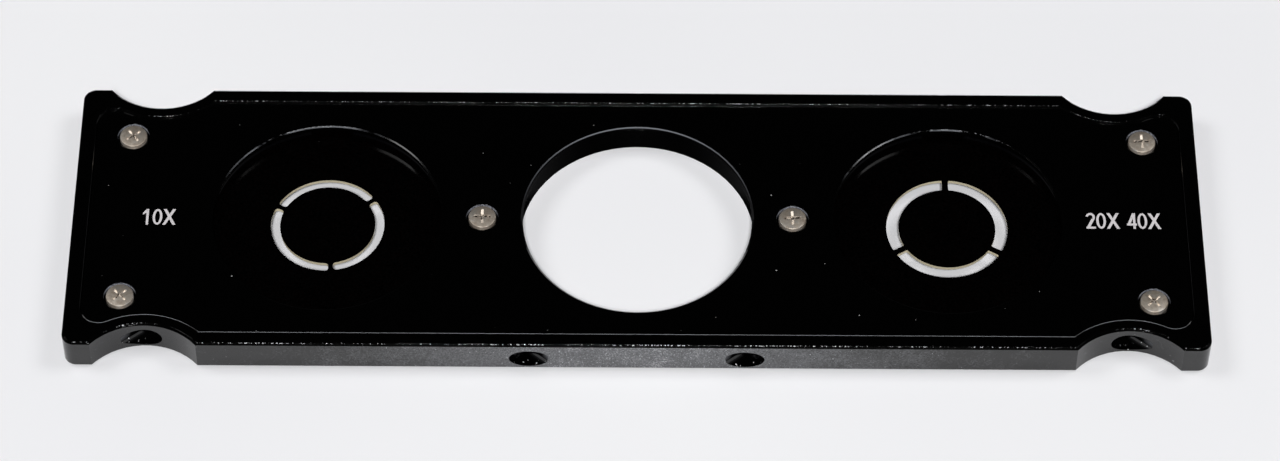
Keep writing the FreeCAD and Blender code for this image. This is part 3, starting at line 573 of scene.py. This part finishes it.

# The bevels of the openings are cut last. On the side that leans to the front their upper part is painted
# as a grey line, a painted highlight. The narrow bevels of the side openings carry broken painted lines,
# longest on the left, and painted glints along their edges.
sloping = product(tree, maths(tree, "GREATER_THAN", cover_slope, 0.4),
                  maths(tree, "LESS_THAN", cover_slope, 0.9))
cover_position = parts_of(tree, here)
middle_part = maths(tree, "LESS_THAN", maths(tree, "ABSOLUTE", cover_position["X"]), MIDDLE_REACH * MM)
upper_part = amount(tree, cover_position["Z"], (COVER_TOP - MIDDLE_LINE) * MM,
                    (COVER_TOP - MIDDLE_LINE + MIDDLE_LINE_FADE) * MM)
forward = amount(tree, cover_facing["Y"], -0.1, -0.7)
middle_painted_line = product(tree, sloping, middle_part, forward, upper_part)
bevelled = mixed(tree, middle_painted_line, dust_and_counterbore_light, "#6A6C71")
side_part = maths(tree, "SUBTRACT", 1.0, middle_part)
leaning = add_node(tree, "ShaderNodeVectorMath", {"operation": "DOT_PRODUCT", 1: (0.31, -0.95, 0.0)},
                   {0: place.outputs["Normal"]})
breaks = add_node(tree, "ShaderNodeTexNoise", {"Scale": per_mm(LINE_BREAKS), "Detail": 2.0},
                  {"Vector": here})
side_bevel = product(tree, sloping, side_part)
side_painted_line = product(tree, side_bevel, amount(tree, leaning.outputs["Value"], 0.48, 0.64),
                    amount(tree, breaks.outputs["Fac"], 0.4, 0.56))
lined = mixed(tree, side_painted_line, bevelled, "#5E6064")
# Painted glints along the edges of the side openings' bevels.
side_glints = product(tree, edge_glints(tree, here, SIDE_GLINT_EDGE, SIDE_GLINT_RISE, 0.5, 0.6), side_part)
cover_shade = mixed(tree, side_glints, lined, "#B8B9BD")

# The walls of the openings keep the grooves of the tool, deep ones in the middle opening and fine ones
# in the side openings, and the side openings' bevels the deepest. So they throw the light away.
cover_edge = add_node(tree, "ShaderNodeBevel", {"Radius": COVER_ROUNDING * MM})
dark_wall = maths(tree, "SUBTRACT", cover_wall, counterbore_painted_light)
middle_wall = product(tree, dark_wall, middle_part)
side_wall = product(tree, dark_wall, side_part)
finely_grooved = lifted_normal(tree, cover_edge.outputs["Normal"], side_wall, FINE_GROOVE_SLOPE)
deeply_grooved = lifted_normal(tree, finely_grooved, middle_wall)
cover_surface = lifted_normal(tree, deeply_grooved, side_bevel, BEVEL_GROOVE_SLOPE)
cover_relief = add_node(tree, "ShaderNodeBump", {"Strength": 0.2, "Distance": LAPPED_DEPTH * MM},
                        {"Height": lapping.outputs["Fac"], "Normal": cover_surface})
set_shader(shader, {"Metallic": 0.0, "IOR": 1.5}, tree,
           {"Base Color": cover_shade, "Roughness": amount(tree, lapping.outputs["Fac"], 0, 1, 0.08, 0.13),
            "Normal": cover_relief.outputs["Normal"]})
finish_node("cover_plate", cover_black)

# The magnification numbers
# Printed on the cover in white two-part ink, one number for each objective that a position serves.
# The ink stands two hundredths of a millimetre proud, each stroke a trace above the one before.

INK_HEIGHT = 0.02
INK_LAYER = 0.0007
INK_SPOTS = 0.35
CAP_HEIGHT = 2.77
STROKE = 0.34
BAR = 0.33
DIGIT_WIDTH = 1.37
LETTER_WIDTH = 1.88
LETTER_STROKE = 0.44
ARC_STEPS = 20
white_ink, tree, shader, place = new_material("white_screen_printing_ink")
# Screen printing ink: an even, slightly grey white with a soft sheen and thin spots.
thin_spots = add_node(tree, "ShaderNodeTexNoise", {"Scale": per_mm(INK_SPOTS), "Detail": 4.0},
                      {"Vector": place.outputs["Object"]})
ink = add_node(tree, "ShaderNodeValToRGB", {"stops": [(0.28, "#9A9698"), (0.42, "#C9C5C7")]},
               {"Fac": thin_spots.outputs["Fac"]})
ink_sheen = amount(tree, thin_spots.outputs["Fac"], 0, 1, 0.4, 0.6)
set_shader(shader, {"Metallic": 0.0, "IOR": 1.5}, tree,
           {"Base Color": ink.outputs["Color"], "Roughness": ink_sheen})


def slanted(low_x, high_x, low_y, high_y, width=STROKE):
    """A straight stroke between two heights, its ends cut level."""
    return [(low_x, low_y), (low_x + width, low_y), (high_x + width, high_y), (high_x, high_y)]


def bent(centre, radii, start, end):
    """A curved stroke along part of an ellipse, as quads. Angles in degrees, anticlockwise."""
    quads = []
    steps = max(2, int(ARC_STEPS * abs(end - start) / 180))
    rows = []
    for step in range(steps + 1):
        turn = math.radians(start + (end - start) * step / steps)
        row = []
        for inset_x, inset_y in ((0, 0), (STROKE, BAR)):
            row.append((centre[0] + (radii[0] - inset_x) * math.cos(turn),
                        centre[1] + (radii[1] - inset_y) * math.sin(turn)))
        rows.append(row)
    for before, after in zip(rows, rows[1:]):
        quads.append([before[0], after[0], after[1], before[1]])
    return quads


def glyph_strokes(character):
    """The strokes of one character as flat outlines in millimetres, from its lower left corner."""
    half = DIGIT_WIDTH / 2
    top = CAP_HEIGHT
    if character == "0":
        return bent((half, top / 2), (half, top / 2), 0, 360)
    if character == "1":
        return [slanted(0.38, 0.38, 0, top),
                [(-0.1, top - 1.0), (0.4, top - 0.62), (0.5, top), (0.38, top), (-0.1, top - 0.66)]]
    if character == "2":
        bowl = bent((half - 0.02, top - 0.72), (half - 0.02, 0.72), -30, 170)
        return bowl + [slanted(0.04, DIGIT_WIDTH - 0.56, 0.1, 1.74, 0.46),
                       [(0.04, 0), (DIGIT_WIDTH, 0), (DIGIT_WIDTH, BAR), (0.04, BAR)]]
    if character == "4":
        return [slanted(0.86, 0.86, 0, top), slanted(-0.02, 0.8, 0.62, top, 0.4),
                [(-0.02, 0.6), (DIGIT_WIDTH + 0.03, 0.6), (DIGIT_WIDTH + 0.03, 0.95), (-0.02, 0.95)]]
    reach = LETTER_WIDTH - LETTER_STROKE
    return [slanted(0, reach - 0.06, 0, top, LETTER_STROKE), slanted(reach, 0.06, 0, top, LETTER_STROKE)]


def print_number(name, characters, left_x, middle_y, starts):
    """Raises a number's strokes by the thickness of the ink. The starts are its characters' left edges."""
    shape = bmesh.new()
    for character, start in zip(characters, starts):
        for layer, outline in enumerate(glyph_strokes(character)):
            rows = []
            for z in (COVER_TOP, COVER_TOP + INK_HEIGHT + INK_LAYER * layer):
                rows.append([shape.verts.new(((left_x + start + x) * MM,
                                              (y - CAP_HEIGHT / 2 + middle_y) * MM, z * MM))
                             for x, y in outline])
            shape.faces.new(rows[1])
            for index in range(len(outline)):
                after = (index + 1) % len(outline)
                shape.faces.new((rows[0][index], rows[0][after], rows[1][after], rows[1][index]))
    bmesh.ops.recalc_face_normals(shape, faces=shape.faces)
    mesh = bpy.data.meshes.new(name)
    shape.to_mesh(mesh)
    shape.free()
    number = make_object(name, mesh, white_ink, "slider")


print_number("number_10x", "10X", -70.0, -0.23, (0.0, 1.3, 2.72))
print_number("number_20x", "20X", 63.6, 0.02, (0.0, 1.48, 2.92))
print_number("number_40x", "40X", 69.43, 0.02, (0.0, 1.5, 2.94))

# The cover screws
# Six M2 pan head screws with a cross recess, steel with nickel plate, one in each counterbore. Their
# plating has gone warm and dull, the driver has left the recess bright, and a painted highlight brightens
# its front arm and rear end.

# Sizes in millimetres. The recess is cut by a tip whose half length and width, at its bottom and top, are
# shares of the recess's own length and width.
HEAD_RADIUS = 1.95
HEAD_SIDE = 0.42
HEAD_HEIGHT = 0.81
HEAD_MIDDLE = 0.5
HEAD_UNDER_BEVEL = 0.06
CROWN_RADIUS = 1.84
CROWN_HEIGHT = 0.68
SHANK_RADIUS = 0.95
SHANK_LENGTH = 3.0
SHANK_POINT = 0.2
RECESS_LENGTH = 2.3
RECESS_WIDTH = 0.62
RECESS_DEPTH = 0.55
RECESS_EDGE = 0.04
CUTTER_RISE = 0.2
CUTTER_BOTTOM = (0.35, 0.7)
CUTTER_TOP = (0.62, 0.55)
LATHE_STEPS = 48
DOME_STEPS = 10
SMOOTH_ANGLE = 35
SIDE_GROOVE_SLOPE = 0.5
TARNISH_PATCH = 0.9
TARNISH_DEPTH = 0.02
SCRAPE_PATCH = 0.5
HEAD_ROUNDING = 0.06

screw_nickel, tree, shader, place = new_material("nickel_plated_steel_worn")
# Worn nickel plate: warm grey metal with duller brown patches and small dents.
here = place.outputs["Object"]
tarnish = add_node(tree, "ShaderNodeTexNoise", {"Scale": per_mm(TARNISH_PATCH), "Detail": 5.0},
                   {"Vector": here})
plating = add_node(tree, "ShaderNodeValToRGB",
                   {"stops": [(0.3, "#A4978A"), (0.5, "#CBC0B2"), (0.72, "#EAE4DB")]},
                   {"Fac": tarnish.outputs["Fac"]})
dull = amount(tree, tarnish.outputs["Fac"], 0.3, 0.7, 0.58, 0.4)
screw_edge = add_node(tree, "ShaderNodeBevel", {"Radius": HEAD_ROUNDING * MM})
# The side of the head keeps the grooves of its turning, which shine along the lower rim.
head_side = amount(tree, parts_of(tree, place.outputs["Normal"])["Z"], 0.3, 0.1)
turned_side = lifted_normal(tree, screw_edge.outputs["Normal"], head_side, SIDE_GROOVE_SLOPE)
dents = add_node(tree, "ShaderNodeBump", {"Strength": 0.35, "Distance": TARNISH_DEPTH * MM},
                 {"Height": tarnish.outputs["Fac"], "Normal": turned_side})

# Inside the recess the driver has scraped the plating off: bright, but rough.
head_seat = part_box("cover_screw_left_front")[0][2] / MM + SHANK_LENGTH
head_position = parts_of(tree, here)
inside_head = maths(tree, "LESS_THAN", to_nearest_screw(tree, here, head_seat + HEAD_MIDDLE),
                    CROWN_RADIUS * MM)
below_crown = maths(tree, "LESS_THAN", head_position["Z"],
                    (head_seat + CROWN_HEIGHT - RECESS_EDGE) * MM)
scraped_recess = product(tree, inside_head, below_crown)
scraping = add_node(tree, "ShaderNodeTexNoise", {"Scale": per_mm(SCRAPE_PATCH), "Detail": 2.0},
                    {"Vector": here})
scraped_metal = add_node(tree, "ShaderNodeValToRGB", {"stops": [(0.44, "#3A322C"), (0.6, "#E8DFD4")]},
                         {"Fac": scraping.outputs["Fac"]})

# A painted highlight of the flash brightens the arm towards the front and the rear end.
head_row = maths(tree, "ROUND", maths(tree, "DIVIDE", head_position["Y"], SCREW_ROW * MM))
from_middle = maths(tree, "SUBTRACT", head_position["Y"], product(tree, head_row, SCREW_ROW * MM))
recess_painted_highlight = maths(tree, "MAXIMUM", amount(tree, from_middle, -0.15 * MM, -0.4 * MM),
               amount(tree, from_middle, 0.5 * MM, 0.75 * MM))
recess_wear_and_highlight = mixed(tree, recess_painted_highlight, scraped_metal.outputs["Color"], "#F4EDE4")
screw_colour = mixed(tree, scraped_recess, plating.outputs["Color"], recess_wear_and_highlight)
screw_rough = add_node(tree, "ShaderNodeMix", {3: 0.74}, {0: scraped_recess, 2: dull})
set_shader(shader, {"Metallic": 1.0}, tree,
           {"Base Color": screw_colour, "Roughness": screw_rough.outputs[0],
            "Normal": dents.outputs["Normal"]})


def lathe(profile, steps):
    """A closed body turned from (radius, height) points in millimetres, both ends on the axis."""
    turned = bmesh.new()
    columns = []
    for radius, height in profile:
        if radius == 0:
            columns.append([turned.verts.new((0, 0, height * MM))])
            continue
        ring = []
        for step in range(steps):
            angle = math.tau * step / steps
            x = radius * math.cos(angle) * MM
            y = radius * math.sin(angle) * MM
            ring.append(turned.verts.new((x, y, height * MM)))
        columns.append(ring)
    for lower, upper in zip(columns, columns[1:]):
        for step in range(steps):
            after = (step + 1) % steps
            if len(lower) == 1:
                turned.faces.new((lower[0], upper[after], upper[step]))
            elif len(upper) == 1:
                turned.faces.new((lower[step], lower[after], upper[0]))
            else:
                turned.faces.new((lower[step], lower[after], upper[after], upper[step]))
    bmesh.ops.recalc_face_normals(turned, faces=turned.faces)
    return turned


def recess_cutter():
    """The shape of the driver's tip: two crossed wedges, shorter at the bottom."""
    tip = bmesh.new()
    top = HEAD_HEIGHT + CUTTER_RISE
    bottom = HEAD_HEIGHT - RECESS_DEPTH
    for crosswise in (False, True):
        corners = []
        for height, (long_share, wide_share) in ((bottom, CUTTER_BOTTOM), (top, CUTTER_TOP)):
            length = RECESS_LENGTH * long_share
            width = RECESS_WIDTH * wide_share
            for x, y in ((-length, -width / 2), (length, -width / 2), (length, width / 2),
                         (-length, width / 2)):
                spot = (y, -x, height) if crosswise else (x, y, height)
                corners.append(tip.verts.new([part * MM for part in spot]))
        tip.faces.new(corners[3::-1])
        tip.faces.new(corners[4:])
        for index in range(4):
            after = (index + 1) % 4
            tip.faces.new((corners[index], corners[after], corners[after + 4], corners[index + 4]))
    return tip


def cut_away(whole, tool, name):
    """The mesh that is left of one closed body once another is taken out of it."""
    objects = []
    for part in (whole, tool):
        mesh = bpy.data.meshes.new(name)
        part.to_mesh(mesh)
        part.free()
        thing = bpy.data.objects.new(name, mesh)
        bpy.context.scene.collection.objects.link(thing)
        objects.append(thing)
    body, cutter = objects
    boolean = body.modifiers.new("recess", "BOOLEAN")
    boolean.object = cutter
    boolean.operation = "DIFFERENCE"
    boolean.solver = "EXACT"
    boolean.use_self = True
    bpy.context.view_layer.update()
    result = bpy.data.meshes.new_from_object(body.evaluated_get(bpy.context.evaluated_depsgraph_get()))
    for thing in objects:
        bpy.data.objects.remove(thing)
    return result


head_profile = [(0, -SHANK_LENGTH), (SHANK_RADIUS - SHANK_POINT, -SHANK_LENGTH),
                (SHANK_RADIUS, -SHANK_LENGTH + SHANK_POINT), (SHANK_RADIUS, 0),
                (HEAD_RADIUS - HEAD_UNDER_BEVEL, 0), (HEAD_RADIUS, HEAD_UNDER_BEVEL)]
for step in range(DOME_STEPS + 1):
    turn = math.pi / 2 * step / DOME_STEPS
    head_profile.append((CROWN_RADIUS + (HEAD_RADIUS - CROWN_RADIUS) * math.cos(turn),
                         HEAD_SIDE + (CROWN_HEIGHT - HEAD_SIDE) * math.sin(turn)))
for share in (0.75, 0.5, 0.25):
    head_profile.append((CROWN_RADIUS * share,
                         CROWN_HEIGHT + (HEAD_HEIGHT - CROWN_HEIGHT) * (1 - share ** 2)))
head_profile.append((0, HEAD_HEIGHT))

for number, (node, recess_turn) in enumerate((
        ("cover_screw_left_front", 44), ("cover_screw_left_rear", 38), ("cover_screw_middle_left", 0),
        ("cover_screw_middle_right", 3), ("cover_screw_right_front", 40), ("cover_screw_right_rear", 2))):
    low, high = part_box(node)
    seat = Vector(((low[0] + high[0]) / 2, (low[1] + high[1]) / 2, low[2] + SHANK_LENGTH * MM))
    mesh = cut_away(lathe(head_profile, LATHE_STEPS), recess_cutter(), f"cover_screw_{number}")
    mesh.transform(Matrix.Translation(seat) @ Matrix.Rotation(math.radians(recess_turn), 4, "Z"))
    mesh.shade_smooth()
    mesh.set_sharp_from_angle(angle=math.radians(SMOOTH_ANGLE))
    screw = make_object(node.replace("cover_screw", "pan_head"), mesh, screw_nickel, "slider")
    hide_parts(node)

# The table, the lights and the camera
# The slider lies on a smooth white table in a room with pale walls and a dark ceiling. A soft flash far
# behind the camera lights what the camera sees, also the table below the rings of light. Two weaker
# panels, high on the left and right, put a thin soft shadow along the front edge and the ends.

TABLE_REACH = 2.0
TABLE_GAP = 0.02
TABLE_CLOUDS = 90.0
white_table, tree, shader, place = new_material("white_melamine_table")
# Melamine: a plain cool white with a very faint unevenness.
wave = add_node(tree, "ShaderNodeTexNoise", {"Scale": per_mm(TABLE_CLOUDS), "Detail": 1.0},
                {"Vector": place.outputs["Object"]})
white = add_node(tree, "ShaderNodeValToRGB", {"stops": [(0.2, "#E6E6E9"), (0.8, "#ECECEE")]},
                 {"Fac": wave.outputs["Fac"]})
set_shader(shader, {"Roughness": 0.55}, tree, {"Base Color": white.outputs["Color"]})
table_mesh = bpy.data.meshes.new("table")
corners = [(x * TABLE_REACH, y * TABLE_REACH, 0) for x, y in ((-1, -1), (1, -1), (1, 1), (-1, 1))]
table_mesh.from_pydata(corners, [], [(0, 1, 2, 3)])
table_mesh.materials.append(white_table)
table = bpy.data.objects.new("table", table_mesh)
bpy.context.scene.collection.objects.link(table)
table.location.z = -TABLE_GAP * MM


def add_light(name, place, size, watts):
    """A square soft light that faces the middle of the slider. Its place and size are in metres."""
    lamp = bpy.data.lights.new(name, "AREA")
    lamp.size = size
    lamp.energy = watts
    stand = bpy.data.objects.new(name, lamp)
    bpy.context.scene.collection.objects.link(stand)
    stand.location = place
    stand.rotation_euler = (-Vector(place)).to_track_quat("-Z", "Y").to_euler()


add_light("flash", (0.0, -1.49, 2.007), size=0.3, watts=54.6)
add_light("panel_left", (-0.5, 0.108, 0.75), size=0.36, watts=1.8)
add_light("panel_right", (0.5, 0.108, 0.75), size=0.36, watts=1.8)

world = bpy.data.worlds.new("dim_room")
world.use_nodes = True
sky = world.node_tree
around = sky.nodes.new("ShaderNodeTexCoord")
upwards = add_node(sky, "ShaderNodeSeparateXYZ", {}, {"Vector": around.outputs["Generated"]})
walls = add_node(sky, "ShaderNodeValToRGB",
                 {"stops": [(0.0, "#828285"), (0.22, "#606062"), (0.42, "#080808")]},
                 {"Fac": upwards.outputs["Z"]})
sky.links.new(walls.outputs["Color"], sky.nodes["Background"].inputs["Color"])
bpy.context.scene.world = world
bpy.context.scene.view_settings.view_transform = "Standard"

# The camera stands in front of the slider and looks down on it. Its place is in millimetres, and its
# angles are in degrees.
CAMERA_PLACE = (-1.017, -401.62, 531.89)
CAMERA_PITCH = 52.8373
CAMERA_YAW = -0.2
CAMERA_ROLL = 0.4906
SENSOR_WIDTH = 36.0
FOCAL_LENGTH = 131.42
lens = bpy.data.cameras.new("camera")
lens.sensor_width = SENSOR_WIDTH
lens.lens = FOCAL_LENGTH
lens.clip_start = 0.01
camera = bpy.data.objects.new("camera", lens)
bpy.context.scene.collection.objects.link(camera)
camera.matrix_world = (
    Matrix.Translation([part * MM for part in CAMERA_PLACE])
    @ Matrix.Rotation(math.radians(CAMERA_YAW), 4, "Z")
    @ Matrix.Rotation(math.radians(90 - CAMERA_PITCH), 4, "X")
    @ Matrix.Rotation(math.radians(CAMERA_ROLL), 4, "Z"))
bpy.context.scene.camera = camera
